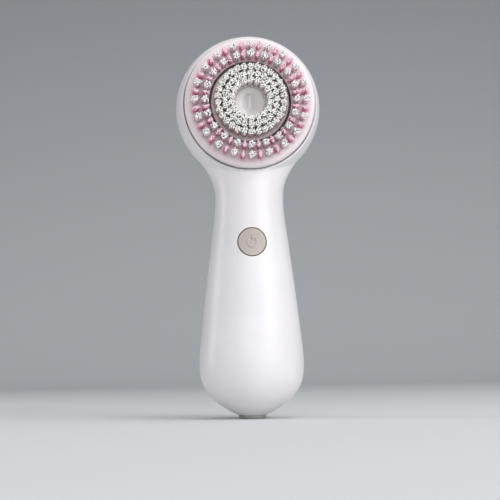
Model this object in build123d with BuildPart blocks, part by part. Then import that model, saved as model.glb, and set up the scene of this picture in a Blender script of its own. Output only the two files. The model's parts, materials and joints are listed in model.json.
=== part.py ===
"""Facial cleansing brush: a one-hand device with an oscillating disc inside a fixed ring of bristles.

Millimetres. +Z runs up the handle, the bristles point to -Y and +X is to the user's right, seen from
the bristle side. The origin is the middle of the flat underside of the base cap.
"""
from build123d import *
from math import cos, radians, sin
import os

# ---------------------------------------------------------------- driving dimensions
wall = 2.0  # housing wall thickness
parting_y = 1.0  # plane where the front and rear housings meet
seal_depth = 1.0  # depth of the gasket's groove in the front housing
seal_inset = 0.7  # from the outside to the gasket
seal_width = 0.6

# Head: round about the drive axis, which is parallel to Y at this height
head_z = 126.7
head_radius = 29.5
rim_radius = 27.4  # front rim of the housing
rim_y = -12.0
dome_y = 15.0  # back of the head
deck_y = -10.0  # floor of the recess that the brush ring sits in
deck_inner_y = -8.0
recess_radius = 26.7

# Handle: a round bulb, radius and height of its outline from the foot to the narrowest neck
handle_outline = [
    (5.5, 1.35),
    (12.2, 5.1),
    (17.6, 10.0),
    (20.3, 15.0),
    (21.2, 21.0),
    (20.6, 31.0),
    (19.45, 41.0),
    (18.2, 52.0),
    (16.8, 63.0),
    (15.4, 74.0),
    (14.4, 81.4),
    (13.9, 88.8),
]
bulb_z = 21.0
neck_z = handle_outline[-1][1]
# Flare from the neck into the head: height, half width, front Y, back Y
flare_sections = [
    (neck_z, handle_outline[-1][0], -handle_outline[-1][0], handle_outline[-1][0]),
    (94.0, 14.3, -13.7, 13.9),
    (99.0, 16.1, -13.1, 13.6),
    (104.5, 19.6, -12.3, 12.9),
    (110.0, 22.4, -11.4, 11.6),
]

# Base cap
cap_seam_z = handle_outline[0][1]
cap_radius = handle_outline[0][0]
cap_foot_fillet = 0.8
plug_radius = 4.0
plug_top_z = 6.5
contact_radius = 1.0
contact_spacing = 4.4
contact_recess = 0.15
seal_z = 3.2
seal_thick = 0.7

# Brush ring and its bristles
ring_radius = 26.3
ring_face_y = -16.5
ring_plate = 2.6
ring_skirt = 2.0
ring_bore = 16.6
ring_back_y = deck_y - 0.3
ring_edge_fillet = 1.5
outer_rows = [(22.1, 9.0), (18.2, 9.4)]  # circle radius, free length
outer_columns = 20
white_tuft_radius = 1.05
pink_tuft_size = (1.0, 2.1)  # width along the circle, length along the radius
pink_shorter = 1.2
tuft_seat = 1.8

# Inner disc and its bristles
disc_radius = 15.7
disc_face_y = -15.9
disc_plate = 2.6
disc_back_y = -10.9
socket_radius = 6.0
centre_cap_thick = 0.8
inner_rings = [(7.8, 18), (10.3, 24), (13.1, 30)]  # circle radius, tufts
inner_tuft_radius = 1.0
inner_free = 9.0
centre_cap_radius = 6.2
slot_size = (6.2, 1.8)

# Bayonet between ring and deck
collar_inner = 20.4
collar_outer = 22.6
collar_front_y = -12.6
lug_count = 3
lug_angle = 24.0
lug_depth = 0.9
lug_thick = 1.0

# Drive
shaft_radius = 2.0
shaft_front_y = -13.2
shaft_back_y = 10.4
running_fit = 0.03
hub_radius = 4.2
hub_back_y = -10.5
seal_radius = 3.4
frame_screw_radius = 0.7
frame_screw_depth = 5.0
frame_radius = 19.0
rear_boss_radius = 5.5
rear_bearing_radius = 3.5
coil_window = 7.4
spring_start_y = -1.0
spring_radius = 2.9
spring_wire = 0.5
spring_pitch = 0.75
spring_turns = 2.5
armature_hub_radius = 4.5
armature_stem = 7.0
back_iron = (12.0, 1.5)
magnet_size = (5.0, 6.0, 2.0)
bobbin_wall = 0.7
coil_depth = 2.4
bearing_radius = 4.0
bearing_back_y = -3.4
bearing_boss = 6.0
armature_front_y = -0.5
armature_back_y = 5.5
frame_front_y = 6.5
frame_back_y = 8.0
post_offset = 13.0
post_radius = 2.4
magnet_gap_z = 11.5  # from the drive axis to the magnets' faces
pole_gap = 1.4
leg_width = 4.0
leg_pitch = 8.0
core_drop = 22.4

# Electronics
button_z = 70.6
button_radius = 5.5
button_gap = 0.4
button_flange_radius = 6.4
button_travel = 0.6
button_back_y = -10.9
button_flange = 0.6
symbol_radius = 1.9
symbol_line = 0.55
plunger_seat = 1.0
seal_ring_radius = 7.3  # well behind the button that holds its seal
seal_ring_wall = 1.2
button_proud = 0.3
symbol_rise = 0.3
board_size = (15.0, 50.0, 1.2)
board_middle_z = 61.0
board_front_y = -6.0
board_boss_radius = 2.2
board_screw_tip_y = -10.5
switch_size = 6.2
switch_front_y = -8.2
plunger_radius = 1.5
plunger_front_y = -9.2
cell_radius = 7.0
cell_length = 48.0
cell_bottom_z = 20.0
cell_y = 5.5
holder_wall = 1.2
rib_places = [27.0, 55.0]
rib_half = 3.0
rib_height = 3.0
component_places = [  # X, Z, width, height, rise
    (-4.5, 47.5, 3.0, 1.6, 0.9),
    (0.5, 46.5, 1.6, 3.0, 0.9),
    (4.6, 48.0, 3.2, 3.2, 1.8),
    (-5.6, 56.0, 1.2, 2.0, 0.6),
    (5.6, 56.0, 1.2, 2.0, 0.6),
    (-4.8, 79.0, 2.4, 4.0, 1.4),
    (4.8, 79.0, 2.4, 4.0, 1.4),
]

# Housing screws: X, Z of each
screw_places = [(0.0, head_z + 22.4), (0.0, 96.0), (14.5, 26.0), (-14.5, 26.0)]
screw_radius = 0.9
screw_head_radius = 1.7
screw_head_y = 5.6
screw_head_height = 1.4
screw_tip_y = -5.0
boss_radius = 2.9

os.makedirs("parts", exist_ok=True)


# ---------------------------------------------------------------- helpers
def facing(y, z=head_z):
    """Plane square to the drive axis at this Y, looking to the front; its X is +X and its Y is +Z."""
    return Plane(origin=(0, y, z), x_dir=(1, 0, 0), z_dir=(0, -1, 0))


def disc(radius, back_y, front_y, bore=0.0, z=head_z, mode=Mode.ADD):
    """Round slab or ring about the drive axis, or about a parallel axis at another height."""
    with BuildSketch(facing(back_y, z)) as outline:
        Circle(radius)
        if bore:
            Circle(bore, mode=Mode.SUBTRACT)
    extrude(outline.sketch, amount=back_y - front_y, mode=mode)


def pillars(places, radius, back_y, front_y, bore=0.0, mode=Mode.ADD):
    """Round pillars parallel to the drive axis at (x, z) places."""
    with BuildSketch(facing(back_y, 0)) as outline:
        with Locations(*places):
            Circle(radius)
            if bore:
                Circle(bore, mode=Mode.SUBTRACT)
    extrude(outline.sketch, amount=back_y - front_y, mode=mode)


def block(low, high, mode=Mode.ADD):
    """Box between two corners."""
    middle = [(a + b) / 2 for a, b in zip(low, high)]
    size = [b - a for a, b in zip(low, high)]
    with Locations(tuple(middle)):
        Box(*size, mode=mode)


def finish(builder, name):
    """Label a finished piece and write it as its own node."""
    builder.part.label = name
    export_step(builder.part, f"parts/{name}.step")


def bulb_form(inset):
    """Solid form of the handle below the neck, with the outside moved inwards by the inset."""
    outline = [(r - inset, z + inset * max(0.0, 1 - z / bulb_z)) for r, z in handle_outline]
    with BuildPart() as bulb:
        with BuildSketch(Plane.XZ):
            with BuildLine():
                Spline(*outline, tangents=((1, 0.45), (0, 1)), tangent_scalars=(1, 1))
                Polyline(outline[-1], (0, outline[-1][1]), (0, outline[0][1]), outline[0])
            make_face()
        revolve(axis=Axis.Z)
    return bulb.part


def housing_form(inset):
    """Solid form of the whole housing, with the outside moved inwards by the inset."""
    front_y = rim_y + inset * (deck_inner_y - rim_y) / wall
    with BuildPart() as flare:
        for z, half_width, front, back in flare_sections:
            with BuildSketch(Plane.XY.offset(z)):
                with Locations((0, (front + back) / 2)):
                    Ellipse(half_width - inset, (back - front) / 2 - inset)
        loft()
    dome = [
        (
            (head_radius - inset) * cos(radians(angle)),
            parting_y + (dome_y - parting_y - inset) * sin(radians(angle)),
        )
        for angle in (0, 30, 60, 90)
    ]
    with BuildPart() as form:
        with BuildSketch(Plane.XY.offset(head_z)):
            with BuildLine():
                Spline(*dome, tangents=((0, 1), (-1, 0)), tangent_scalars=(1, 1))
                Spline(
                    (head_radius - inset, parting_y),
                    (rim_radius - inset, front_y),
                    tangents=((0, -1), (-0.35, -1)),
                )
                Polyline((rim_radius - inset, front_y), (0, front_y), (0, dome_y - inset))
            make_face()
        revolve(axis=Axis((0, 0, head_z), (0, 1, 0)))
        add(flare.part)
        add(bulb_form(inset))
    return form.part


outer_form = housing_form(0.0)
middle_form = housing_form(wall / 2)
inner_form = housing_form(wall)
proud_form = bulb_form(-button_proud)
symbol_form = bulb_form(-button_proud - symbol_rise)

board_back_y = board_front_y + board_size[2]
board_low_z = board_middle_z - board_size[1] / 2
board_screw_places = [(0.0, board_low_z + 3), (0.0, board_low_z + board_size[1] - 3)]
seal_front_y = button_back_y + button_travel + 0.2
seal_back_y = seal_front_y + 0.8
post_places = [(x, head_z + z) for x in (-post_offset, post_offset) for z in (-post_offset, post_offset)]

# ---------------------------------------------------------------- housing gasket
def seam_sketch(inset):
    """Flat outline of the housing at the parting plane, moved inwards by the inset."""
    side = [(r - inset, z + inset * max(0.0, 1 - z / bulb_z)) for r, z in handle_outline]
    side += [(half_width - inset, z) for z, half_width, front, back in flare_sections[1:]]
    with BuildSketch(facing(parting_y, 0)) as seam:
        with BuildLine():
            Spline(*side)
            Polyline(side[-1], (0, side[-1][1]), (0, side[0][1]), side[0])
        make_face()
        mirror(about=Plane.YZ)
        with Locations((0, head_z)):
            Circle(head_radius - inset)
    return seam.sketch


with BuildPart() as gasket:
    extrude(seam_sketch(seal_inset), amount=seal_depth)
    extrude(seam_sketch(seal_inset + seal_width), amount=seal_depth, mode=Mode.SUBTRACT)
    block((-plug_radius - 1, -10, 0), (plug_radius + 1, 10, plug_top_z), mode=Mode.SUBTRACT)
finish(gasket, "housing_gasket")

# ---------------------------------------------------------------- front housing
with BuildPart() as front_housing:
    add(outer_form)
    add(inner_form, mode=Mode.SUBTRACT)
    # bosses that the housing screws bite into and the wall round the brush ring's recess
    pillars(screw_places, boss_radius, parting_y, rim_y)
    disc(recess_radius + wall, deck_inner_y, ring_face_y)
    # bosses for the circuit board and the well that holds the button's seal
    pillars(board_screw_places, board_boss_radius, board_front_y, -25)
    disc(seal_ring_radius + seal_ring_wall, seal_back_y, -25, bore=seal_ring_radius, z=button_z)
    add(outer_form, mode=Mode.INTERSECT)
    block((-40, -40, 0), (40, parting_y, 170), mode=Mode.INTERSECT)
    disc(recess_radius, deck_y, ring_face_y - 10, mode=Mode.SUBTRACT)
    # boss for the front bearing, posts for the motor frame
    disc(bearing_boss, bearing_back_y, deck_y)
    pillars(post_places, post_radius, frame_front_y, deck_inner_y - 0.5)
    # bores
    disc(bearing_radius, bearing_back_y, deck_y + 1.6, mode=Mode.SUBTRACT)
    disc(seal_radius, deck_y + 1.6, deck_y - 1, mode=Mode.SUBTRACT)
    screw_end_y = frame_front_y - frame_screw_depth
    pillars(post_places, frame_screw_radius, frame_front_y, screw_end_y, mode=Mode.SUBTRACT)
    pillars(screw_places, screw_radius, parting_y, screw_tip_y, mode=Mode.SUBTRACT)
    pillars(board_screw_places, screw_radius, board_front_y, board_screw_tip_y, mode=Mode.SUBTRACT)
    disc(button_radius + button_gap, -5, -30, z=button_z, mode=Mode.SUBTRACT)
    with Locations((0, 0, plug_top_z / 2)):
        Cylinder(plug_radius, plug_top_z, mode=Mode.SUBTRACT)
    add(gasket.part, mode=Mode.SUBTRACT)
finish(front_housing, "front_housing")

# ---------------------------------------------------------------- rear housing
with BuildPart() as rear_bosses:
    pillars(screw_places, boss_radius, dome_y + 5, parting_y)
    # ribs that back the battery holder
    for low_z in rib_places:
        block((-rib_half, cell_y + cell_radius + holder_wall, low_z), (rib_half, 25, low_z + rib_height))
    add(middle_form, mode=Mode.INTERSECT)

with BuildPart() as rear_housing:
    add(outer_form)
    block((-40, parting_y, 0), (40, 40, 170), mode=Mode.INTERSECT)
    add(inner_form, mode=Mode.SUBTRACT)
    add(rear_bosses.part)
    pillars(screw_places, screw_radius + 0.2, dome_y + 5, parting_y - 1, mode=Mode.SUBTRACT)
    pillars(screw_places, screw_head_radius, dome_y + 10, screw_head_y, mode=Mode.SUBTRACT)
    with Locations((0, 0, plug_top_z / 2)):
        Cylinder(plug_radius, plug_top_z, mode=Mode.SUBTRACT)
finish(rear_housing, "rear_housing")

# ---------------------------------------------------------------- housing screws and their plugs
with BuildPart() as housing_screws:
    pillars(screw_places, screw_radius, screw_head_y, screw_tip_y)
    pillars(screw_places, screw_head_radius, screw_head_y + screw_head_height, screw_head_y)
    pillars(screw_places, 0.6, screw_head_y + screw_head_height, screw_head_y + 0.6, mode=Mode.SUBTRACT)
finish(housing_screws, "housing_screws")

with BuildPart() as screw_plugs:
    pillars(screw_places, screw_head_radius, dome_y + 10, screw_head_y + screw_head_height + 0.2)
    add(outer_form, mode=Mode.INTERSECT)
finish(screw_plugs, "screw_plugs")

# ---------------------------------------------------------------- base cap with charging contacts and seal
contact_places = [(-contact_spacing / 2, 0), (contact_spacing / 2, 0)]
with BuildPart() as base_cap:
    with BuildSketch():
        Circle(cap_radius)
    extrude(amount=cap_seam_z)
    fillet(base_cap.edges().group_by(Axis.Z)[0], radius=cap_foot_fillet)
    with BuildSketch(Plane.XY.offset(cap_seam_z)):
        Circle(plug_radius)
    extrude(amount=plug_top_z - cap_seam_z)
    with BuildSketch(Plane.XY.offset(seal_z)):
        Circle(plug_radius)
        Circle(plug_radius - seal_thick, mode=Mode.SUBTRACT)
    extrude(amount=seal_thick, mode=Mode.SUBTRACT)
    with BuildSketch():
        with Locations(*contact_places):
            Circle(contact_radius)
    extrude(amount=plug_top_z, mode=Mode.SUBTRACT)
finish(base_cap, "base_cap")

with BuildPart() as base_seal:
    with BuildSketch(Plane.XY.offset(seal_z)):
        Circle(plug_radius)
        Circle(plug_radius - seal_thick, mode=Mode.SUBTRACT)
    extrude(amount=seal_thick)
finish(base_seal, "base_seal")

with BuildPart() as charging_contacts:
    with BuildSketch(Plane.XY.offset(contact_recess)):
        with Locations(*contact_places):
            Circle(contact_radius)
    extrude(amount=plug_top_z + 2 - contact_recess)
finish(charging_contacts, "charging_contacts")

# ---------------------------------------------------------------- brush ring


def lugs(inner, outer, back_y, front_y, start):
    """Ring sectors about the drive axis, one for each bayonet lug."""
    with BuildSketch(facing(back_y)) as outline:
        for place in range(lug_count):
            turn = start + 360 / lug_count * place
            with BuildLine():
                CenterArc((0, 0), outer, turn, lug_angle)
                CenterArc((0, 0), inner, turn, lug_angle)
                for edge in (turn, turn + lug_angle):
                    direction = (cos(radians(edge)), sin(radians(edge)))
                    Line(*[(r * direction[0], r * direction[1]) for r in (inner, outer)])
            make_face()
    extrude(outline.sketch, amount=back_y - front_y)


def tuft_sketch(plane, radius, count, first, shape):
    """One circle of tufts: round ones, or ovals that lie along the radius."""
    with BuildSketch(plane) as outline:
        with PolarLocations(radius, count, start_angle=first):
            if shape == "round":
                Circle(white_tuft_radius)
            elif shape == "oval":
                Ellipse(pink_tuft_size[1] / 2, pink_tuft_size[0] / 2)
            else:
                Circle(inner_tuft_radius)
    return outline.sketch


half_column = 180 / outer_columns
with BuildPart() as white_tufts:
    for radius, free in outer_rows:
        outline = tuft_sketch(facing(ring_face_y + tuft_seat), radius, outer_columns, 90, "round")
        extrude(outline, amount=tuft_seat + free)
finish(white_tufts, "white_tufts")

with BuildPart() as pink_tufts:
    for radius, free in outer_rows:
        seat = facing(ring_face_y + tuft_seat)
        outline = tuft_sketch(seat, radius, outer_columns, 90 + half_column, "oval")
        extrude(outline, amount=tuft_seat + free - pink_shorter)
finish(pink_tufts, "pink_tufts")

with BuildPart() as brush_ring:
    disc(ring_radius, ring_back_y, ring_face_y, bore=ring_bore)
    fillet(brush_ring.edges().group_by(Axis.Y)[0].sort_by(SortBy.LENGTH)[-1], radius=ring_edge_fillet)
    cup_radius = ring_radius - ring_skirt
    disc(cup_radius, ring_back_y + 1, ring_face_y + ring_plate, bore=ring_bore + 1.4, mode=Mode.SUBTRACT)
    lug_front_y = collar_front_y + lug_thick + 0.4
    lugs(
        collar_outer + 0.25,
        ring_radius - ring_skirt + 0.2,
        lug_front_y + lug_thick,
        lug_front_y,
        start=-lug_angle / 2,
    )
    add(white_tufts.part, mode=Mode.SUBTRACT)
    add(pink_tufts.part, mode=Mode.SUBTRACT)
finish(brush_ring, "brush_ring")

# ---------------------------------------------------------------- bayonet collar on the deck
with BuildPart() as bayonet_collar:
    disc(collar_outer, deck_y, collar_front_y, bore=collar_inner)
    lug_outer = collar_outer + lug_depth
    lugs(collar_outer - 0.2, lug_outer, collar_front_y + lug_thick, collar_front_y, -lug_angle / 2)
finish(bayonet_collar, "bayonet_collar")

# ---------------------------------------------------------------- inner disc with its tufts and centre cap
with BuildPart() as inner_tufts:
    for radius, count in inner_rings:
        outline = tuft_sketch(facing(disc_face_y + tuft_seat), radius, count, 90, "inner")
        extrude(outline, amount=tuft_seat + inner_free)
finish(inner_tufts, "inner_tufts")

with BuildPart() as inner_disc:
    disc(disc_radius, disc_face_y + disc_plate, disc_face_y)
    fillet(inner_disc.edges().group_by(Axis.Y)[0], radius=0.5)
    disc(disc_radius, disc_back_y, disc_face_y + 1, bore=disc_radius - 1.2)
    disc(socket_radius, disc_back_y, disc_face_y + 1)
    with BuildSketch(facing(disc_back_y)) as socket:
        RegularPolygon(hub_radius, 6)
    extrude(socket.sketch, amount=disc_back_y - shaft_front_y, mode=Mode.SUBTRACT)
    disc(centre_cap_radius, disc_face_y + centre_cap_thick, disc_face_y - 1, mode=Mode.SUBTRACT)
    add(inner_tufts.part, mode=Mode.SUBTRACT)
finish(inner_disc, "inner_disc")

with BuildPart() as centre_cap:
    disc(centre_cap_radius, disc_face_y + centre_cap_thick, disc_face_y - 0.3)
    fillet(centre_cap.edges().group_by(Axis.Y)[0], radius=0.4)
    with BuildSketch(facing(disc_face_y + 0.4)) as slot:
        SlotOverall(*slot_size, rotation=90)
    extrude(slot.sketch, amount=2, mode=Mode.SUBTRACT)
finish(centre_cap, "centre_cap")

# ---------------------------------------------------------------- drive: hub, shaft, bearings, seal, spring
with BuildPart() as drive_hub:
    with BuildSketch(facing(hub_back_y)) as hub:
        RegularPolygon(hub_radius, 6)
        Circle(shaft_radius, mode=Mode.SUBTRACT)
    extrude(hub.sketch, amount=hub_back_y - shaft_front_y)
finish(drive_hub, "drive_hub")

with BuildPart() as drive_shaft:
    disc(shaft_radius, shaft_back_y, shaft_front_y)
    chamfer(drive_shaft.edges().group_by(Axis.Y)[-1], length=0.3)
finish(drive_shaft, "drive_shaft")

with BuildPart() as shaft_seal:
    disc(seal_radius, deck_y + 1.6, deck_y + 0.2, bore=shaft_radius + running_fit)
finish(shaft_seal, "shaft_seal")

with BuildPart() as front_bearing:
    disc(bearing_radius, bearing_back_y, deck_y + 1.6, bore=shaft_radius + running_fit)
finish(front_bearing, "front_bearing")

with BuildPart() as return_spring:
    with BuildLine():
        coil = Helix(
            spring_pitch,
            spring_pitch * spring_turns,
            spring_radius,
            center=(0, spring_start_y, head_z),
            direction=(0, -1, 0),
        )
    with BuildSketch(Plane(origin=coil @ 0, z_dir=coil % 0)):
        Circle(spring_wire / 2)
    sweep(is_frenet=True)
finish(return_spring, "return_spring")

# ---------------------------------------------------------------- armature and magnets
magnet_top_z = head_z - magnet_gap_z + magnet_size[2]
with BuildPart() as armature:
    disc(armature_hub_radius, armature_back_y, armature_front_y, bore=shaft_radius)
    half_stem = armature_stem / 2
    block(
        (-half_stem, armature_front_y, magnet_top_z),
        (half_stem, armature_back_y, head_z - armature_hub_radius + 1),
    )
    block(
        (-back_iron[0] / 2, armature_front_y, magnet_top_z),
        (back_iron[0] / 2, armature_back_y, magnet_top_z + back_iron[1]),
    )
    # counterweight above the shaft
    block(
        (-half_stem, armature_front_y, head_z + armature_hub_radius - 1),
        (half_stem, armature_back_y, head_z + 9),
    )
finish(armature, "armature")

with BuildPart() as magnets:
    for side in (-1, 1):
        middle = side * (magnet_size[0] / 2 + 0.25)
        block(
            (middle - magnet_size[0] / 2, armature_front_y, head_z - magnet_gap_z),
            (middle + magnet_size[0] / 2, armature_back_y, magnet_top_z),
        )
finish(magnets, "armature_magnets")

# ---------------------------------------------------------------- stator: laminated core, bobbin, coil
pole_z = head_z - magnet_gap_z - pole_gap
core_bottom_z = head_z - core_drop
yoke_top_z = core_bottom_z + 3
with BuildPart() as stator_core:
    half_core = leg_pitch + leg_width / 2
    block((-half_core, armature_front_y, core_bottom_z), (half_core, frame_front_y, yoke_top_z))
    for leg in (-1, 0, 1):
        x = leg * leg_pitch
        block((x - leg_width / 2, armature_front_y, yoke_top_z), (x + leg_width / 2, frame_front_y, pole_z))
finish(stator_core, "stator_core")

leg_box = (leg_width / 2, armature_front_y, frame_front_y)


def coil_layer(low_z, high_z, inner, outer):
    """Rectangular tube round the middle leg, with the given distances from the leg's faces."""
    half, front, back = leg_box
    block((-half - outer, front - outer, low_z), (half + outer, back + outer, high_z))
    block((-half - inner, front - inner, low_z), (half + inner, back + inner, high_z), mode=Mode.SUBTRACT)


with BuildPart() as coil_bobbin:
    coil_layer(yoke_top_z, pole_z - 0.6, 0.0, bobbin_wall)
    for low_z in (yoke_top_z, pole_z - 0.6 - bobbin_wall):
        with BuildPart(mode=Mode.PRIVATE) as flange:
            coil_layer(low_z, low_z + bobbin_wall, bobbin_wall, coil_depth)
        add(flange.part)
finish(coil_bobbin, "coil_bobbin")

with BuildPart() as stator_coil:
    coil_layer(yoke_top_z + bobbin_wall, pole_z - 0.6 - bobbin_wall, bobbin_wall, coil_depth - 0.3)
finish(stator_coil, "stator_coil")

# ---------------------------------------------------------------- motor frame, rear bearing, frame screws
with BuildPart() as motor_frame:
    disc(frame_radius, frame_back_y, frame_front_y)
    disc(rear_boss_radius, shaft_back_y + 0.4, frame_front_y)
    block((-coil_window, frame_front_y - 1, head_z - 40), (coil_window, 30, pole_z + 1.4), mode=Mode.SUBTRACT)
    disc(rear_bearing_radius, shaft_back_y + 1, frame_front_y - 1, mode=Mode.SUBTRACT)
    pillars(post_places, frame_screw_radius, frame_back_y + 1, frame_front_y - 1, mode=Mode.SUBTRACT)
finish(motor_frame, "motor_frame")

with BuildPart() as rear_bearing:
    disc(rear_bearing_radius, shaft_back_y + 0.4, frame_front_y, bore=shaft_radius + running_fit)
finish(rear_bearing, "rear_bearing")

with BuildPart() as frame_screws:
    pillars(post_places, frame_screw_radius, frame_back_y, frame_front_y - frame_screw_depth)
    pillars(post_places, frame_screw_radius + 0.8, frame_back_y + 0.9, frame_back_y)
finish(frame_screws, "frame_screws")

# ---------------------------------------------------------------- power button, its seal and switch
with BuildPart() as power_button:
    disc(button_radius, button_back_y, -30, z=button_z)
    add(proud_form, mode=Mode.INTERSECT)
    with BuildSketch(facing(0, button_z)) as symbol:
        with BuildLine():
            CenterArc((0, 0), symbol_radius, 125, 290)
        trace(line_width=symbol_line)
        with Locations((0, symbol_radius)):
            Rectangle(symbol_line, symbol_radius)
    with BuildPart(mode=Mode.PRIVATE) as raised:
        extrude(symbol.sketch, amount=30)
        add(symbol_form, mode=Mode.INTERSECT)
        block((-10, -30, 50), (10, button_back_y - 1, 90), mode=Mode.INTERSECT)
    add(raised.part)
    disc(button_flange_radius, button_back_y, button_back_y - button_flange, z=button_z)
    disc(plunger_radius, plunger_front_y, button_back_y - 0.1, z=button_z)
finish(power_button, "power_button")

with BuildPart() as button_seal:
    disc(seal_ring_radius, seal_back_y, seal_front_y, bore=plunger_radius + 0.15, z=button_z)
finish(button_seal, "button_seal")

with BuildPart() as switch_plunger:
    disc(plunger_radius, switch_front_y + plunger_seat, plunger_front_y, z=button_z)
finish(switch_plunger, "switch_plunger")

with BuildPart() as tactile_switch:
    half_switch = switch_size / 2
    block(
        (-half_switch, switch_front_y, button_z - half_switch),
        (half_switch, board_front_y, button_z + half_switch),
    )
    switch_well_y = switch_front_y + plunger_seat + button_travel + 0.2
    disc(plunger_radius + 0.1, switch_well_y, switch_front_y - 1, z=button_z, mode=Mode.SUBTRACT)
finish(tactile_switch, "tactile_switch")

# ---------------------------------------------------------------- circuit board and what is on it
with BuildPart() as circuit_board:
    block(
        (-board_size[0] / 2, board_front_y, board_low_z),
        (board_size[0] / 2, board_back_y, board_low_z + board_size[1]),
    )
    pillars(board_screw_places, screw_radius, 0, -20, mode=Mode.SUBTRACT)
finish(circuit_board, "circuit_board")

with BuildPart() as controller_chip:
    block((-3.5, board_front_y - 1.2, 52), (3.5, board_front_y, 59))
    chamfer(controller_chip.edges().group_by(Axis.Y)[0], length=0.2)
finish(controller_chip, "controller_chip")

with BuildPart() as board_components:
    for x, z, width, height, rise in component_places:
        low = (x - width / 2, board_front_y - rise, z - height / 2)
        block(low, (x + width / 2, board_front_y, z + height / 2))
finish(board_components, "board_components")

# ---------------------------------------------------------------- battery cell, holder, tabs
cell_top_z = cell_bottom_z + cell_length
with BuildPart() as battery_cell:
    with BuildSketch(Plane.XY.offset(cell_bottom_z)):
        with Locations((0, cell_y)):
            Circle(cell_radius)
    extrude(amount=cell_length)
    fillet(battery_cell.edges().filter_by(GeomType.CIRCLE), radius=0.6)
    with BuildSketch(Plane.XY.offset(cell_top_z)):
        with Locations((0, cell_y)):
            Circle(2.5)
    extrude(amount=0.8)
finish(battery_cell, "battery_cell")

with BuildPart() as battery_holder:
    with BuildSketch(Plane.XY.offset(cell_bottom_z - holder_wall)):
        with Locations((0, cell_y)):
            Circle(cell_radius + holder_wall)
        with Locations((0, cell_y - cell_radius - 3)):
            Rectangle(30, 2 * cell_radius, mode=Mode.SUBTRACT)
    extrude(amount=cell_length + 2 * holder_wall + 1)
    with BuildSketch(Plane.XY.offset(cell_bottom_z)):
        with Locations((0, cell_y)):
            Circle(cell_radius)
    extrude(amount=cell_length + 1, mode=Mode.SUBTRACT)
finish(battery_holder, "battery_holder")

with BuildPart() as board_screws:
    pillars(board_screw_places, screw_radius, board_back_y, board_screw_tip_y)
    pillars(board_screw_places, screw_head_radius, board_back_y + 1, board_back_y)
finish(board_screws, "board_screws")
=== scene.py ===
"""Facial cleansing brush: bristles, outer shells, finishes and a studio stage around the CAD frame."""
import json
from math import cos, pi, radians, sin

import bmesh
import bpy
from mathutils import Matrix, Vector


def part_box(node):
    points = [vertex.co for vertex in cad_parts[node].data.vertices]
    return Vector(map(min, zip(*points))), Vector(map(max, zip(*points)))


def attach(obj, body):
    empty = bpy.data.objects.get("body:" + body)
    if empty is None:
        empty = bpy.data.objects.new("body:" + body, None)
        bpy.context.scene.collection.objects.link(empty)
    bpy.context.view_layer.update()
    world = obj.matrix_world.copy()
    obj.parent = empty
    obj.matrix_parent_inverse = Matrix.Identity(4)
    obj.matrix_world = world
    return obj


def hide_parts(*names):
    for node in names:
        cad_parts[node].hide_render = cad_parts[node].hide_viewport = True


bl_info = {
    "name": "Facial cleansing brush",
    "version": (1, 0, 0),
    "blender": (4, 5, 0),
    "location": "3D View > Sidebar > Cleansing brush",
    "description": "Makes the bristles, the shells' finish and the stage of a facial cleansing brush",
    "category": "Object",
}

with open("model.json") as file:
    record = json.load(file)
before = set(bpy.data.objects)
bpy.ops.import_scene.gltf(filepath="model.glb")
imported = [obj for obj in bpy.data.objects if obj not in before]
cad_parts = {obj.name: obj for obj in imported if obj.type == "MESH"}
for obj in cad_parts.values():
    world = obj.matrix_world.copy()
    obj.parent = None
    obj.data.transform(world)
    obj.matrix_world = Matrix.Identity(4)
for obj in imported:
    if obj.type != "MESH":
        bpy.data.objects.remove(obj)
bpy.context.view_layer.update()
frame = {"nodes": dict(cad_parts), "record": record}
NODES = frame["nodes"]
MM = 0.001

# Read from the frame: the drive axis, the two faces that carry bristles, and the CAD tufts' tips
RING_LOW, RING_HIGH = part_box("brush_ring")
AXIS_Z = (RING_LOW.z + RING_HIGH.z) / 2
RING_FACE_Y = RING_LOW.y
DISC_FACE_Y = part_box("inner_disc")[0].y
WHITE_TIP_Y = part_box("white_tufts")[0].y
PINK_TIP_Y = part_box("pink_tufts")[0].y
INNER_TIP_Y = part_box("inner_tufts")[0].y

# Circles of tufts: outer radii with how much shorter each row is, inner radii with their tuft counts
OUTER_ROWS = ((22.1 * MM, 0.4 * MM), (18.2 * MM, 0.0))
INNER_RINGS = ((7.8 * MM, 18), (10.3 * MM, 24), (13.1 * MM, 30))
SEAT_DEPTH = 0.6 * MM
FIRST_TUFT = pi / 2

# A filament: its sides, the turn from one to the next, and its tapered end
FILAMENT_SIDES = 6
GOLDEN_ANGLE = 2.39996
TUFT_TURN = 1.7
STRAY = 0.035
SHORTEST, LONGEST = 0.962, 0.99
TIP_SHARE = 0.025
TIP_TAPER = 0.8

# Distances within which points are merged, and the angles past which an edge stays sharp
SHELL_WELD = 2e-6
FILAMENT_WELD = 1e-7
NO_LENGTH = 1e-6
SHELL_SHARP = radians(32)
FILAMENT_SHARP = radians(50)

# Plastics, and the sizes of the slow colour drift and of the filaments' mottle
POLYMER_IOR = 1.53
COAT_ROUGHNESS = 0.12
DRIFT_MM = 18.0
MOTTLE_MM = 0.5


# ---------------------------------------------------------------- frame and node helpers
def node_slot(node):
    """The record's material slot of a CAD node."""
    return next(s["material_slot"] for s in frame["record"]["subparts"] if s["node"] == node)


def node_body(node):
    """The body that a CAD node moves with."""
    bodies = frame["record"]["behaviour"]["bodies"]
    return next(body for body, members in bodies.items() if node in members)


def linear(code):
    """sRGB hex to linear RGBA."""
    values = [int(code[i : i + 2], 16) / 255 for i in (1, 3, 5)]
    straight = [v / 12.92 if v <= 0.04045 else ((v + 0.055) / 1.055) ** 2.4 for v in values]
    return (*straight, 1.0)


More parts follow.
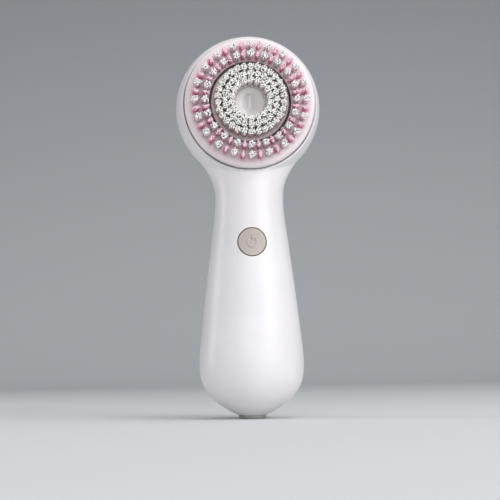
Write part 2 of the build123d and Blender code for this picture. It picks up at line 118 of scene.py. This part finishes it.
def put(tree, kind, inputs=None, **settings):
    """Add a node with its settings; an input takes a value or a link from another node's output."""
    node = tree.nodes.new(kind)
    for name, value in settings.items():
        setattr(node, name, value)
    for place, value in (inputs or {}).items():
        if isinstance(value, bpy.types.NodeSocket):
            tree.links.new(value, node.inputs[place])
        else:
            node.inputs[place].default_value = value
    return node


def ramp_colours(node, stops):
    """Set a colour ramp's stops from (place, sRGB hex) pairs."""
    ramp = node.color_ramp
    while len(ramp.elements) > 1:
        ramp.elements.remove(ramp.elements[0])
    ramp.elements[0].position = stops[0][0]
    ramp.elements[0].color = linear(stops[0][1])
    for place, code in stops[1:]:
        ramp.elements.new(place).color = linear(code)


# ---------------------------------------------------------------- materials
def surface(name, colour, gloss, relief):
    """New node material; colour, gloss and relief each build nodes and return the socket to link."""
    material = bpy.data.materials.new(name)
    material.use_nodes = True
    tree = material.node_tree
    where = put(tree, "ShaderNodeTexCoord").outputs["Object"]
    shader = tree.nodes["Principled BSDF"]
    for socket, make in (("Base Color", colour), ("Roughness", gloss), ("Normal", relief)):
        tree.links.new(make(tree, where), shader.inputs[socket])
    return material, shader


def grained(name, low, high, rough, grain_mm, bump_mm, metallic=0.0, coat=0.0):
    """A moulded, turned or wound finish: slow colour drift, fine grain in bump and roughness."""

    def grain(tree, where):
        inputs = {"Vector": where, "Scale": 1000 / grain_mm, "Detail": 4.0, "Roughness": 0.6}
        return put(tree, "ShaderNodeTexNoise", inputs).outputs[0]

    def colour(tree, where):
        inputs = {"Vector": where, "Scale": 1000 / DRIFT_MM, "Detail": 3.0}
        drift = put(tree, "ShaderNodeTexNoise", inputs)
        tint = put(tree, "ShaderNodeValToRGB", {0: drift.outputs[0]})
        ramp_colours(tint, [(0.35, low), (0.65, high)])
        return tint.outputs[0]

    def gloss(tree, where):
        inputs = {0: grain(tree, where), "To Min": rough[0], "To Max": rough[1]}
        return put(tree, "ShaderNodeMapRange", inputs).outputs[0]

    def relief(tree, where):
        inputs = {"Height": grain(tree, where), "Strength": 1.0, "Distance": bump_mm * MM}
        return put(tree, "ShaderNodeBump", inputs).outputs[0]

    material, shader = surface(name, colour, gloss, relief)
    shader.inputs["Metallic"].default_value = metallic
    shader.inputs["Coat Weight"].default_value = coat
    shader.inputs["Coat Roughness"].default_value = COAT_ROUGHNESS
    return material, shader


def nylon(name, root, middle, tip, face_y, tip_y):
    """Drawn nylon filament with painted light along it: painted shade deepens the colour at the root and a
    painted highlight brightens it towards the tip.
    """

    def mottle(tree, where):
        inputs = {"Vector": where, "Scale": 1000 / MOTTLE_MM, "Detail": 2.0}
        return put(tree, "ShaderNodeTexNoise", inputs).outputs[0]

    def colour(tree, where):
        # Painted shade at the root and a painted highlight at the tip: the colour follows the place along
        # Y from the face to the tip.
        depth = put(tree, "ShaderNodeSeparateXYZ", {0: where}).outputs["Y"]
        height = put(tree, "ShaderNodeMapRange", {0: depth, "From Min": face_y, "From Max": tip_y})
        shift = put(tree, "ShaderNodeMapRange", {0: mottle(tree, where), "To Min": -0.10, "To Max": 0.10})
        total = put(tree, "ShaderNodeMath", {0: height.outputs[0], 1: shift.outputs[0]}, operation="ADD")
        tint = put(tree, "ShaderNodeValToRGB", {0: total.outputs[0]})
        ramp_colours(tint, [(0.0, root), (0.5, middle), (0.92, tip)])
        return tint.outputs[0]

    def gloss(tree, where):
        inputs = {0: mottle(tree, where), "To Min": 0.28, "To Max": 0.42}
        return put(tree, "ShaderNodeMapRange", inputs).outputs[0]

    def relief(tree, where):
        inputs = {"Height": mottle(tree, where), "Strength": 0.5, "Distance": 0.02 * MM}
        return put(tree, "ShaderNodeBump", inputs).outputs[0]

    material, shader = surface(name, colour, gloss, relief)
    shader.inputs["IOR"].default_value = POLYMER_IOR
    return material


def white_abs(name, dark, light, rough, grain_mm, bump_mm, coat, milky, milky_mm):
    """White moulded ABS with a little light inside it, which softens its shadows."""
    material, shader = grained(name, dark, light, rough, grain_mm, bump_mm, coat=coat)
    shader.inputs["IOR"].default_value = POLYMER_IOR
    shader.inputs["Subsurface Weight"].default_value = milky
    shader.inputs["Subsurface Scale"].default_value = milky_mm * MM
    return material


def gloss_abs():
    """Housing, from a polished mould: nearly flat, a faint orange peel softens the reflections."""
    wanted = bpy.context.scene.shell_settings
    colours = (wanted.shell_dark, wanted.shell_light)
    return white_abs("Gloss white ABS", *colours, (0.30, 0.40), 0.9, 0.004, 0.15, 0.05, 1.5)


def satin_abs():
    """Brush ring and disc, from a satin mould: duller than the housing, and warmer, with a faint pink cast
    painted in as reflection of the pink tufts.
    """
    wanted = bpy.context.scene.shell_settings
    colours = (wanted.ring_dark, wanted.ring_light)
    return white_abs("Satin white ABS", *colours, (0.30, 0.42), 0.5, 0.006, 0.1, 0.08, 1.2)


# Slot: name, low and high colour, roughness range, grain in mm, bump in mm, metallic, coat
FINISHES = {
    # Moulded cap on the foot: darker and duller than the shells
    "cap_grey": ("Satin grey ABS", "#8F8B89", "#9A9694", (0.42, 0.55), 0.35, 0.012, 0.0, 0.0),
    # Soft button skin: breaks the highlight with a fine matt grain
    "button_taupe": ("Taupe silicone skin", "#B9AEA7", "#C6BCB5", (0.46, 0.60), 0.30, 0.010, 0.0, 0.0),
    # Pressed seals: dull black lines in the gaps
    "seal_rubber": ("Black nitrile rubber", "#1B1B1C", "#242425", (0.55, 0.75), 0.25, 0.020, 0.0, 0.0),
    # Turned pins and screws: bright, with the fine marks of the tool
    "steel": ("Turned stainless steel", "#9A9B9D", "#B4B5B7", (0.22, 0.38), 0.20, 0.006, 1.0, 0.0),
    # Charging pins: smooth warm plating
    "gold_contact": ("Gold plated brass", "#D8B35C", "#E6C675", (0.18, 0.30), 0.20, 0.004, 1.0, 0.0),
    # Bearings: porous and brown
    "bronze": ("Sintered bronze", "#8C6239", "#A47546", (0.40, 0.60), 0.18, 0.020, 1.0, 0.0),
    # Winding: lacquered, with the turns' fine ridges
    "copper": ("Enamelled copper wire", "#9C4A26", "#B65C33", (0.25, 0.40), 0.30, 0.030, 0.6, 0.4),
    # Core: dark stacked sheet
    "core_steel": ("Laminated core steel", "#4A4B4E", "#5A5B5E", (0.40, 0.60), 0.50, 0.020, 1.0, 0.0),
    # Magnets: bright plating
    "magnet": ("Nickel plated magnet", "#A9AAAD", "#BDBEC1", (0.15, 0.28), 0.30, 0.004, 1.0, 0.0),
    # Motor frame, hub and bobbin: black and slightly fibrous
    "frame_plastic": ("Glass filled nylon", "#1E1E20", "#29292B", (0.45, 0.62), 0.25, 0.020, 0.0, 0.0),
    # Board: green lacquer over weave
    "board_green": (
        "Solder resist on glass board", "#14502A", "#1B6235", (0.30, 0.45), 0.40, 0.010, 0.0, 0.3,
    ),
    # Chips: dull black resin
    "chip_black": ("Moulded epoxy", "#141415", "#1D1D1E", (0.50, 0.70), 0.15, 0.010, 0.0, 0.0),
    # Cell: shrunk film with a slight ripple
    "cell_wrap": ("Shrunk blue PVC film", "#1B4A86", "#23589B", (0.22, 0.35), 1.20, 0.030, 0.0, 0.5),
}


def finish(slot):
    """The slot's material, made the first time that it is asked for."""
    if slot in FINISHES:
        return bpy.data.materials.get(FINISHES[slot][0]) or grained(*FINISHES[slot])[0]
    if slot == "white_shell":
        return bpy.data.materials.get("Gloss white ABS") or gloss_abs()
    return bpy.data.materials.get("Satin white ABS") or satin_abs()


# ---------------------------------------------------------------- settings
class BristleSettings(bpy.types.PropertyGroup):
    """Filaments and tufts"""

    filament: bpy.props.FloatProperty(
        name="Filament radius",
        description="Radius of one drawn filament, coarser than a real one so that it shows",
        default=0.26 * MM,
        unit="LENGTH",
        precision=5,
    )
    splay: bpy.props.FloatProperty(
        name="Splay", description="How far a tuft opens towards its tip", default=0.035
    )
    columns: bpy.props.IntProperty(
        name="Columns", description="Tufts of one colour on an outer circle", default=20
    )
    white_filaments: bpy.props.IntProperty(
        name="White filaments", description="Filaments in a white tuft", default=24
    )
    pink_filaments: bpy.props.IntProperty(
        name="Pink filaments", description="Filaments in a pink tuft", default=18
    )
    inner_filaments: bpy.props.IntProperty(
        name="Inner filaments", description="Filaments in an inner tuft", default=26
    )
    white_radius: bpy.props.FloatProperty(
        name="White tuft",
        description="Radius of a white tuft",
        default=0.90 * MM,
        unit="LENGTH",
        precision=5,
    )
    pink_length: bpy.props.FloatProperty(
        name="Pink length",
        description="Half a pink tuft, radially",
        default=0.95 * MM,
        unit="LENGTH",
        precision=5,
    )
    pink_width: bpy.props.FloatProperty(
        name="Pink width",
        description="Half a pink tuft, across",
        default=0.38 * MM,
        unit="LENGTH",
        precision=5,
    )
    inner_radius: bpy.props.FloatProperty(
        name="Inner tuft",
        description="Radius of an inner tuft",
        default=0.92 * MM,
        unit="LENGTH",
        precision=5,
    )


class ShellSettings(bpy.types.PropertyGroup):
    """Colours of the white plastics"""

    shell_light: bpy.props.StringProperty(
        name="Housing", description="Housing colour, sRGB hex", default="#EEEBEC"
    )
    shell_dark: bpy.props.StringProperty(
        name="Housing drift", description="Housing's second colour, sRGB hex", default="#E9E6E8"
    )
    # The ring colours carry a faint pink cast: painted reflection of the pink tufts around the ring.
    ring_light: bpy.props.StringProperty(
        name="Ring", description="Brush ring colour, sRGB hex", default="#F1E8E9"
    )
    ring_dark: bpy.props.StringProperty(
        name="Ring drift", description="Brush ring's second colour, sRGB hex", default="#E9DFE1"
    )


class StageSettings(bpy.types.PropertyGroup):
    """Camera and backdrop"""

    distance: bpy.props.FloatProperty(
        name="Distance", description="Camera distance", default=0.592, unit="LENGTH"
    )
    rise: bpy.props.FloatProperty(
        name="Elevation", description="Camera elevation", default=radians(-4.5), subtype="ANGLE"
    )
    yaw: bpy.props.FloatProperty(
        name="Yaw", description="Camera moved round to the left", default=radians(3.4), subtype="ANGLE"
    )
    roll: bpy.props.FloatProperty(
        name="Roll", description="Camera roll", default=radians(-0.9), subtype="ANGLE"
    )
    view: bpy.props.FloatProperty(
        name="Field", description="Field of view", default=radians(19.6), subtype="ANGLE"
    )
    aim_z: bpy.props.FloatProperty(
        name="Aim", description="Height looked at", default=0.0685, unit="LENGTH"
    )
    floor: bpy.props.StringProperty(
        name="Floor", description="Floor colour, sRGB hex", default="#D9DBDD"
    )
    # Backdrop colour: the painted shade at the top of the wall, where the paper's painted gradient ends.
    backdrop: bpy.props.StringProperty(
        name="Backdrop", description="Backdrop colour, sRGB hex", default="#A9ABAE"
    )


# ---------------------------------------------------------------- bristles by Geometry Nodes
TUFT_INPUTS = {
    "Circle Radius": "NodeSocketFloat",
    "Tufts": "NodeSocketInt",
    "Phase": "NodeSocketFloat",
    "Half Length": "NodeSocketFloat",
    "Half Width": "NodeSocketFloat",
    "Filaments": "NodeSocketInt",
    "Filament Radius": "NodeSocketFloat",
    "Free Length": "NodeSocketFloat",
    "Splay": "NodeSocketFloat",
    "Seed": "NodeSocketInt",
    "Material": "NodeSocketMaterial",
}


def tuft_centres(tree, given):
    """Points on the circle, numbered, one for each tuft."""
    inputs = {"Vertices": given["Tufts"], "Radius": given["Circle Radius"]}
    circle = put(tree, "GeometryNodeMeshCircle", inputs)
    phase = put(tree, "ShaderNodeCombineXYZ", {"Z": given["Phase"]})
    inputs = {"Geometry": circle.outputs[0], "Rotation": phase.outputs[0]}
    turned = put(tree, "GeometryNodeTransform", inputs)
    centres = put(tree, "GeometryNodeMeshToPoints", {"Mesh": turned.outputs[0]})
    number = put(tree, "GeometryNodeInputIndex")
    inputs = {"Geometry": centres.outputs[0], "Value": number.outputs[0], "Name": "tuft"}
    marked = put(tree, "GeometryNodeStoreNamedAttribute", inputs, data_type="INT", domain="POINT")
    return marked.outputs[0]


def filament_offset(tree, given, number):
    """Where a filament stands in its tuft: a spiral that fills the oval evenly."""
    tuft = put(tree, "GeometryNodeInputNamedAttribute", {"Name": "tuft"}, data_type="INT")
    middle = put(tree, "ShaderNodeMath", {0: number, 1: 0.5}, operation="ADD")
    share = put(tree, "ShaderNodeMath", {0: middle.outputs[0], 1: given["Filaments"]}, operation="DIVIDE")
    reach = put(tree, "ShaderNodeMath", {0: share.outputs[0]}, operation="SQRT")
    spiral = put(tree, "ShaderNodeMath", {0: number, 1: GOLDEN_ANGLE}, operation="MULTIPLY")
    start = put(tree, "ShaderNodeMath", {0: tuft.outputs[0], 1: TUFT_TURN}, operation="MULTIPLY")
    angle = put(tree, "ShaderNodeMath", {0: spiral.outputs[0], 1: start.outputs[0]}, operation="ADD")
    position = put(tree, "GeometryNodeInputPosition")
    outward = put(tree, "ShaderNodeVectorMath", {0: position.outputs[0]}, operation="NORMALIZE")
    inputs = {0: outward.outputs[0], 1: (0.0, 0.0, 1.0)}
    sideways = put(tree, "ShaderNodeVectorMath", inputs, operation="CROSS_PRODUCT")
    parts = []
    for direction, turn, half in ((outward, "COSINE", "Half Length"), (sideways, "SINE", "Half Width")):
        wave = put(tree, "ShaderNodeMath", {0: angle.outputs[0]}, operation=turn)
        inputs = {0: reach.outputs[0], 1: wave.outputs[0]}
        fraction = put(tree, "ShaderNodeMath", inputs, operation="MULTIPLY")
        inputs = {0: fraction.outputs[0], 1: given[half]}
        length = put(tree, "ShaderNodeMath", inputs, operation="MULTIPLY")
        inputs = {0: direction.outputs[0], "Scale": length.outputs[0]}
        parts.append(put(tree, "ShaderNodeVectorMath", inputs, operation="SCALE").outputs[0])
    return put(tree, "ShaderNodeVectorMath", dict(enumerate(parts)), operation="ADD").outputs[0]


def filament_turn(tree, given, lean):
    """Rotation of a filament: outwards with the splay, and a little astray."""
    inputs = {0: given["Half Length"], 1: given["Half Width"]}
    widest = put(tree, "ShaderNodeMath", inputs, operation="MAXIMUM")
    rate = put(tree, "ShaderNodeMath", {0: given["Splay"], 1: widest.outputs[0]}, operation="DIVIDE")
    inputs = {0: lean, "Scale": rate.outputs[0]}
    opening = put(tree, "ShaderNodeVectorMath", inputs, operation="SCALE")
    inputs = {0: (-STRAY, -STRAY, 0.0), 1: (STRAY, STRAY, 0.0), "Seed": given["Seed"]}
    stray = put(tree, "FunctionNodeRandomValue", inputs, data_type="FLOAT_VECTOR")
    inputs = {0: opening.outputs[0], 1: stray.outputs[0]}
    tilt = put(tree, "ShaderNodeVectorMath", inputs, operation="ADD")
    inputs = {0: tilt.outputs[0], 1: (0.0, 0.0, 1.0)}
    aim = put(tree, "ShaderNodeVectorMath", inputs, operation="ADD")
    return put(tree, "FunctionNodeAlignRotationToVector", {"Vector": aim.outputs[0]}, axis="Z").outputs[0]


def filament_shape(tree, given):
    """One filament along +Z: an open tube with a short tapered end."""
    lengths = {}
    for part, share in (("shaft", 1 - TIP_SHARE), ("tip", TIP_SHARE)):
        inputs = {0: given["Free Length"], 1: share}
        lengths[part] = put(tree, "ShaderNodeMath", inputs, operation="MULTIPLY").outputs[0]
    inputs = {0: given["Filament Radius"], 1: TIP_TAPER}
    slim = put(tree, "ShaderNodeMath", inputs, operation="MULTIPLY")
    inputs = {"Vertices": FILAMENT_SIDES, "Side Segments": 2, "Depth": lengths["shaft"]}
    inputs |= {"Radius Bottom": given["Filament Radius"], "Radius Top": given["Filament Radius"]}
    shaft = put(tree, "GeometryNodeMeshCone", inputs, fill_type="NONE")
    inputs = {"Vertices": FILAMENT_SIDES, "Side Segments": 1, "Depth": lengths["tip"]}
    inputs |= {"Radius Bottom": given["Filament Radius"], "Radius Top": slim.outputs[0]}
    tip = put(tree, "GeometryNodeMeshCone", inputs)
    lift = put(tree, "ShaderNodeCombineXYZ", {"Z": lengths["shaft"]})
    inputs = {"Geometry": tip.outputs[0], "Translation": lift.outputs[0]}
    raised = put(tree, "GeometryNodeTransform", inputs)
    filament = put(tree, "GeometryNodeJoinGeometry", {0: shaft.outputs[0]})
    tree.links.new(raised.outputs[0], filament.inputs[0])
    return filament.outputs[0]


def tuft_tree():
    """Circle of tufts: filaments packed in each, leaning out a little, made real and coloured."""
    tree = bpy.data.node_groups.new("Tuft circle", "GeometryNodeTree")
    for name, kind in TUFT_INPUTS.items():
        tree.interface.new_socket(name, in_out="INPUT", socket_type=kind)
    tree.interface.new_socket("Geometry", in_out="OUTPUT", socket_type="NodeSocketGeometry")
    given = put(tree, "NodeGroupInput").outputs
    inputs = {"Geometry": tuft_centres(tree, given), "Amount": given["Filaments"]}
    many = put(tree, "GeometryNodeDuplicateElements", inputs, domain="POINT")
    offset = filament_offset(tree, given, many.outputs["Duplicate Index"])
    inputs = {"Geometry": many.outputs[0], "Value": offset, "Name": "lean"}
    kept = put(tree, "GeometryNodeStoreNamedAttribute", inputs, data_type="FLOAT_VECTOR", domain="POINT")
    lean = put(tree, "GeometryNodeInputNamedAttribute", {"Name": "lean"}, data_type="FLOAT_VECTOR")
    inputs = {"Geometry": kept.outputs[0], "Offset": lean.outputs[0]}
    spread = put(tree, "GeometryNodeSetPosition", inputs)
    inputs = {2: SHORTEST, 3: LONGEST, "Seed": given["Seed"]}
    height = put(tree, "FunctionNodeRandomValue", inputs, data_type="FLOAT")
    size = put(tree, "ShaderNodeCombineXYZ", {"X": 1.0, "Y": 1.0, "Z": height.outputs[1]})
    inputs = {"Points": spread.outputs[0], "Instance": filament_shape(tree, given)}
    inputs |= {"Rotation": filament_turn(tree, given, lean.outputs[0]), "Scale": size.outputs[0]}
    placed = put(tree, "GeometryNodeInstanceOnPoints", inputs)
    real = put(tree, "GeometryNodeRealizeInstances", {"Geometry": placed.outputs[0]})
    inputs = {"Geometry": real.outputs[0], "Material": given["Material"]}
    coloured = put(tree, "GeometryNodeSetMaterial", inputs)
    put(tree, "NodeGroupOutput", {0: coloured.outputs[0]})
    return tree


def grow(tree, values):
    """Run the tuft tree with these inputs and return the evaluated mesh."""
    host = bpy.data.objects.new("grower", bpy.data.meshes.new("grower"))
    bpy.context.scene.collection.objects.link(host)
    modifier = host.modifiers.new("Tufts", "NODES")
    modifier.node_group = tree
    sockets = {s.name: s.identifier for s in tree.interface.items_tree if s.in_out == "INPUT"}
    for name, value in values.items():
        modifier[sockets[name]] = value
    graph = bpy.context.evaluated_depsgraph_get()
    mesh = bpy.data.meshes.new_from_object(host.evaluated_get(graph))
    bpy.data.objects.remove(host)
    return mesh


# ---------------------------------------------------------------- pieces
def stand_in(name, node, work, material, sharp):
    """Turn the worked mesh into a smooth-shaded piece that stands for a CAD node and rides its body."""
    mesh = bpy.data.meshes.new(name)
    work.to_mesh(mesh)
    work.free()
    mesh.materials.clear()
    mesh.materials.append(material)
    for polygon in mesh.polygons:
        polygon.use_smooth = True
        polygon.material_index = 0
    mesh.set_sharp_from_angle(angle=sharp)
    piece = bpy.data.objects.new(name, mesh)
    bpy.context.scene.collection.objects.link(piece)
    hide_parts(node)
    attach(piece, node_body(node))


def smooth_copy(node, name, material):
    """A merged copy of a CAD node, shaded smooth across its curved faces."""
    work = bmesh.new()
    work.from_mesh(NODES[node].data)
    bmesh.ops.remove_doubles(work, verts=work.verts, dist=SHELL_WELD)
    bmesh.ops.dissolve_degenerate(work, edges=work.edges, dist=NO_LENGTH)
    bmesh.ops.recalc_face_normals(work, faces=work.faces)
    stand_in(name, node, work, material, SHELL_SHARP)


def plant(name, node, material, face_y, tip_y, circles, halves, filaments):
    """Grow circles of tufts, (radius, count, phase, shorter) each, and stand them on a face towards -Y."""
    wanted = bpy.context.scene.bristle_settings
    tree = bpy.data.node_groups.get("Tuft circle") or tuft_tree()
    work = bmesh.new()
    for seed, (radius, count, phase, shorter) in enumerate(circles):
        mesh = grow(
            tree,
            {
                "Circle Radius": radius,
                "Tufts": count,
                "Phase": FIRST_TUFT + phase,
                "Half Length": halves[0],
                "Half Width": halves[1],
                "Filaments": filaments,
                "Filament Radius": wanted.filament,
                "Free Length": face_y - tip_y + SEAT_DEPTH - shorter,
                "Splay": wanted.splay,
                "Seed": seed,
                "Material": material,
            },
        )
        work.from_mesh(mesh)
        bpy.data.meshes.remove(mesh)
    bmesh.ops.remove_doubles(work, verts=work.verts, dist=FILAMENT_WELD)
    upright = Matrix.Translation((0, face_y + SEAT_DEPTH, AXIS_Z)) @ Matrix.Rotation(pi / 2, 4, "X")
    bmesh.ops.transform(work, matrix=upright, verts=work.verts)
    stand_in(name, node, work, material, FILAMENT_SHARP)


class BRUSH_OT_housing(bpy.types.Operator):
    """Make the front and rear shells and the plugs over the rear screws"""

    bl_idname = "brush.housing"
    bl_label = "Housing shells"

    def execute(self, context):
        smooth_copy("front_housing", "front_shell", finish("white_shell"))
        smooth_copy("rear_housing", "rear_shell", finish("white_shell"))
        smooth_copy("screw_plugs", "rear_plugs", finish(node_slot("screw_plugs")))
        return {"FINISHED"}


class BRUSH_OT_foot(bpy.types.Operator):
    """Make the grey cap at the foot"""

    bl_idname = "brush.foot"
    bl_label = "Foot cap"

    def execute(self, context):
        smooth_copy("base_cap", "foot_cap", finish(node_slot("base_cap")))
        return {"FINISHED"}


class BRUSH_OT_button(bpy.types.Operator):
    """Make the power button"""

    bl_idname = "brush.button"
    bl_label = "Power button"

    def execute(self, context):
        smooth_copy("power_button", "soft_button", finish(node_slot("power_button")))
        return {"FINISHED"}


class BRUSH_OT_head(bpy.types.Operator):
    """Make the brush ring, the oscillating disc and its glossy centre cap"""

    bl_idname = "brush.head"
    bl_label = "Brush head"

    def execute(self, context):
        smooth_copy("brush_ring", "ring_cup", finish(node_slot("brush_ring")))
        smooth_copy("inner_disc", "disc_plate", finish(node_slot("inner_disc")))
        smooth_copy("centre_cap", "disc_centre", finish("white_shell"))
        return {"FINISHED"}


class BRUSH_OT_inside(bpy.types.Operator):
    """Finish the CAD nodes: drive, motor, electronics, seals and screws"""

    bl_idname = "brush.inside"
    bl_label = "Inside"

    def execute(self, context):
        for node, thing in NODES.items():
            thing.data.materials.clear()
            thing.data.materials.append(finish(node_slot(node)))
        return {"FINISHED"}


class BRUSH_OT_white_tufts(bpy.types.Operator):
    """Grow the white tufts of the brush ring"""

    bl_idname = "brush.white_tufts"
    bl_label = "White tufts"

    def execute(self, context):
        wanted = context.scene.bristle_settings
        # White filament: faintly pink at the root, a painted reflection of the pink tufts beside it, with
        # painted shade there and a painted highlight at the tip
        material = nylon(
            "Ivory nylon filament", "#F3E6E8", "#FCF9F7", "#FFFFFF", RING_FACE_Y, WHITE_TIP_Y
        )
        circles = [(radius, wanted.columns, 0.0, shorter) for radius, shorter in OUTER_ROWS]
        halves = (wanted.white_radius, wanted.white_radius)
        plant(
            "white_bristles", "white_tufts", material, RING_FACE_Y, WHITE_TIP_Y,
            circles, halves, wanted.white_filaments,
        )
        return {"FINISHED"}


class BRUSH_OT_pink_tufts(bpy.types.Operator):
    """Grow the pink tufts between the white ones"""

    bl_idname = "brush.pink_tufts"
    bl_label = "Pink tufts"

    def execute(self, context):
        wanted = context.scene.bristle_settings
        # Pink filament: painted shade makes the sides and root deep pink, and a painted highlight makes
        # the tips pale
        material = nylon(
            "Pink nylon filament", "#E8508F", "#F77DB3", "#FFD6E8", RING_FACE_Y, PINK_TIP_Y
        )
        between = pi / wanted.columns
        circles = [(radius, wanted.columns, between, shorter) for radius, shorter in OUTER_ROWS]
        halves = (wanted.pink_length, wanted.pink_width)
        plant(
            "pink_bristles", "pink_tufts", material, RING_FACE_Y, PINK_TIP_Y,
            circles, halves, wanted.pink_filaments,
        )
        return {"FINISHED"}


class BRUSH_OT_inner_tufts(bpy.types.Operator):
    """Grow the dense tufts of the oscillating disc"""

    bl_idname = "brush.inner_tufts"
    bl_label = "Inner tufts"

    def execute(self, context):
        wanted = context.scene.bristle_settings
        # Cream filament: warmer than the white one, with painted shade making it beige at the root and a
        # painted highlight at the tip
        material = nylon(
            "Cream nylon filament", "#E6DBD1", "#FAF5EE", "#FFFEFA", DISC_FACE_Y, INNER_TIP_Y
        )
        circles = [(radius, count, 0.0, 0.0) for radius, count in INNER_RINGS]
        halves = (wanted.inner_radius, wanted.inner_radius)
        plant(
            "inner_bristles", "inner_tufts", material, DISC_FACE_Y, INNER_TIP_Y,
            circles, halves, wanted.inner_filaments,
        )
        return {"FINISHED"}


# ---------------------------------------------------------------- stage
# Floor and wall: half width, front edge, start of the bend, bend radius, top
SWEEP_HALF, SWEEP_FRONT, SWEEP_BACK, SWEEP_BEND, SWEEP_TOP = 2.5, -1.6, 0.9, 0.5, 2.4
BEND_STEPS = 16
WALL_SHADE_Z = 0.6
ROOM_COLOUR, ROOM_STRENGTH = "#DADDE2", 0.45
LIGHT_AIM = (0, 0, 0.08)
# Name, place, size, power in watts
LIGHTS = (
    ("key right", (0.75, -0.70, 0.60), (0.8, 0.8), 5.0),
    ("fill front", (0.25, -1.10, 0.42), (1.6, 1.0), 6.4),
    ("rim left", (-0.75, 0.15, 0.2), (0.25, 0.9), 1.6),
    ("top", (0.1, -0.1, 1.0), (0.6, 0.6), 3),
)


def seamless_paper(wanted):
    """Backdrop paper: matt, with painted shade that leaves it pale underfoot and darker up the wall."""
    paper, shader = grained("Seamless paper", wanted.floor, wanted.floor, (0.85, 0.95), 2.0, 0.02)
    tree = paper.node_tree
    where = put(tree, "ShaderNodeTexCoord").outputs["Object"]
    height = put(tree, "ShaderNodeSeparateXYZ", {0: where}).outputs["Z"]
    # Painted shade up the wall: the colour runs by height from the floor colour to the darker backdrop
    # colour.
    level = put(tree, "ShaderNodeMapRange", {0: height, "From Min": 0.0, "From Max": WALL_SHADE_Z})
    shade = put(tree, "ShaderNodeValToRGB", {0: level.outputs[0]})
    ramp_colours(shade, [(0.0, wanted.floor), (1.0, wanted.backdrop)])
    tree.links.new(shade.outputs[0], shader.inputs["Base Color"])
    return paper


def hang_backdrop(wanted):
    """One sheet of paper from the floor up the wall, with a round bend."""
    bend = [pi / 2 * n / BEND_STEPS for n in range(1, BEND_STEPS + 1)]
    profile = [(SWEEP_FRONT, 0.0), (SWEEP_BACK, 0.0)]
    profile += [(SWEEP_BACK + SWEEP_BEND * sin(a), SWEEP_BEND - SWEEP_BEND * cos(a)) for a in bend]
    profile.append((SWEEP_BACK + SWEEP_BEND, SWEEP_TOP))
    work = bmesh.new()
    left, right = [[work.verts.new((x, y, z)) for y, z in profile] for x in (-SWEEP_HALF, SWEEP_HALF)]
    for n in range(len(profile) - 1):
        work.faces.new((left[n], right[n], right[n + 1], left[n + 1])).smooth = True
    mesh = bpy.data.meshes.new("backdrop")
    work.to_mesh(mesh)
    work.free()
    mesh.materials.append(seamless_paper(wanted))
    backdrop = bpy.data.objects.new("backdrop", mesh)
    bpy.context.scene.collection.objects.link(backdrop)


def hang_light(name, place, size, power):
    """A soft rectangular light, turned to the brush."""
    lamp = bpy.data.lights.new(name, "AREA")
    lamp.shape = "RECTANGLE"
    lamp.size, lamp.size_y = size
    lamp.energy = power
    thing = bpy.data.objects.new(name, lamp)
    thing.location = place
    thing.rotation_euler = (Vector(LIGHT_AIM) - Vector(place)).to_track_quat("-Z", "Y").to_euler()
    bpy.context.scene.collection.objects.link(thing)


def set_world():
    """Even, slightly cool room light."""
    world = bpy.data.worlds.new("Studio")
    world.use_nodes = True
    background = world.node_tree.nodes["Background"]
    background.inputs["Color"].default_value = linear(ROOM_COLOUR)
    background.inputs["Strength"].default_value = ROOM_STRENGTH
    bpy.context.scene.world = world


def set_camera(wanted):
    """A long lens, low in front of the brush and looking slightly up."""
    flat = cos(wanted.rise)
    away = Vector((-sin(wanted.yaw) * flat, -cos(wanted.yaw) * flat, sin(wanted.rise)))
    lens = bpy.data.cameras.new("camera")
    lens.angle = wanted.view
    lens.clip_start = 0.01
    camera = bpy.data.objects.new("camera", lens)
    camera.location = Vector((0, 0, wanted.aim_z)) + away * wanted.distance
    facing = (-away).to_track_quat("-Z", "Y").to_matrix().to_4x4()
    camera.rotation_euler = (facing @ Matrix.Rotation(wanted.roll, 4, "Z")).to_euler()
    bpy.context.scene.collection.objects.link(camera)
    bpy.context.scene.camera = camera


class BRUSH_OT_stage(bpy.types.Operator):
    """Make the floor, the lights and the camera"""

    bl_idname = "brush.stage"
    bl_label = "Stage"

    def execute(self, context):
        wanted = context.scene.stage_settings
        hang_backdrop(wanted)
        set_world()
        for light in LIGHTS:
            hang_light(*light)
        set_camera(wanted)
        context.scene.view_settings.view_transform = "Standard"
        return {"FINISHED"}


# ---------------------------------------------------------------- add-on
SETTINGS = {
    "bristle_settings": BristleSettings,
    "shell_settings": ShellSettings,
    "stage_settings": StageSettings,
}
STEPS = (
    BRUSH_OT_housing,
    BRUSH_OT_foot,
    BRUSH_OT_button,
    BRUSH_OT_head,
    BRUSH_OT_inside,
    BRUSH_OT_white_tufts,
    BRUSH_OT_pink_tufts,
    BRUSH_OT_inner_tufts,
    BRUSH_OT_stage,
)


class BRUSH_PT_panel(bpy.types.Panel):
    """The brush's steps, in order"""

    bl_label = "Cleansing brush"
    bl_idname = "BRUSH_PT_panel"
    bl_space_type = "VIEW_3D"
    bl_region_type = "UI"
    bl_category = "Cleansing brush"

    def draw(self, context):
        for step in STEPS:
            self.layout.operator(step.bl_idname)


def register():
    for kind in (*SETTINGS.values(), *STEPS, BRUSH_PT_panel):
        bpy.utils.register_class(kind)
    for name, kind in SETTINGS.items():
        setattr(bpy.types.Scene, name, bpy.props.PointerProperty(type=kind))


def unregister():
    for name in SETTINGS:
        delattr(bpy.types.Scene, name)
    for kind in (BRUSH_PT_panel, *reversed(STEPS), *SETTINGS.values()):
        bpy.utils.unregister_class(kind)


def main():
    register()
    bpy.ops.brush.housing()
    bpy.ops.brush.foot()
    bpy.ops.brush.button()
    bpy.ops.brush.head()
    bpy.ops.brush.inside()
    bpy.ops.brush.white_tufts()
    bpy.ops.brush.pink_tufts()
    bpy.ops.brush.inner_tufts()
    bpy.ops.brush.stage()


if __name__ == "__main__":
    main()
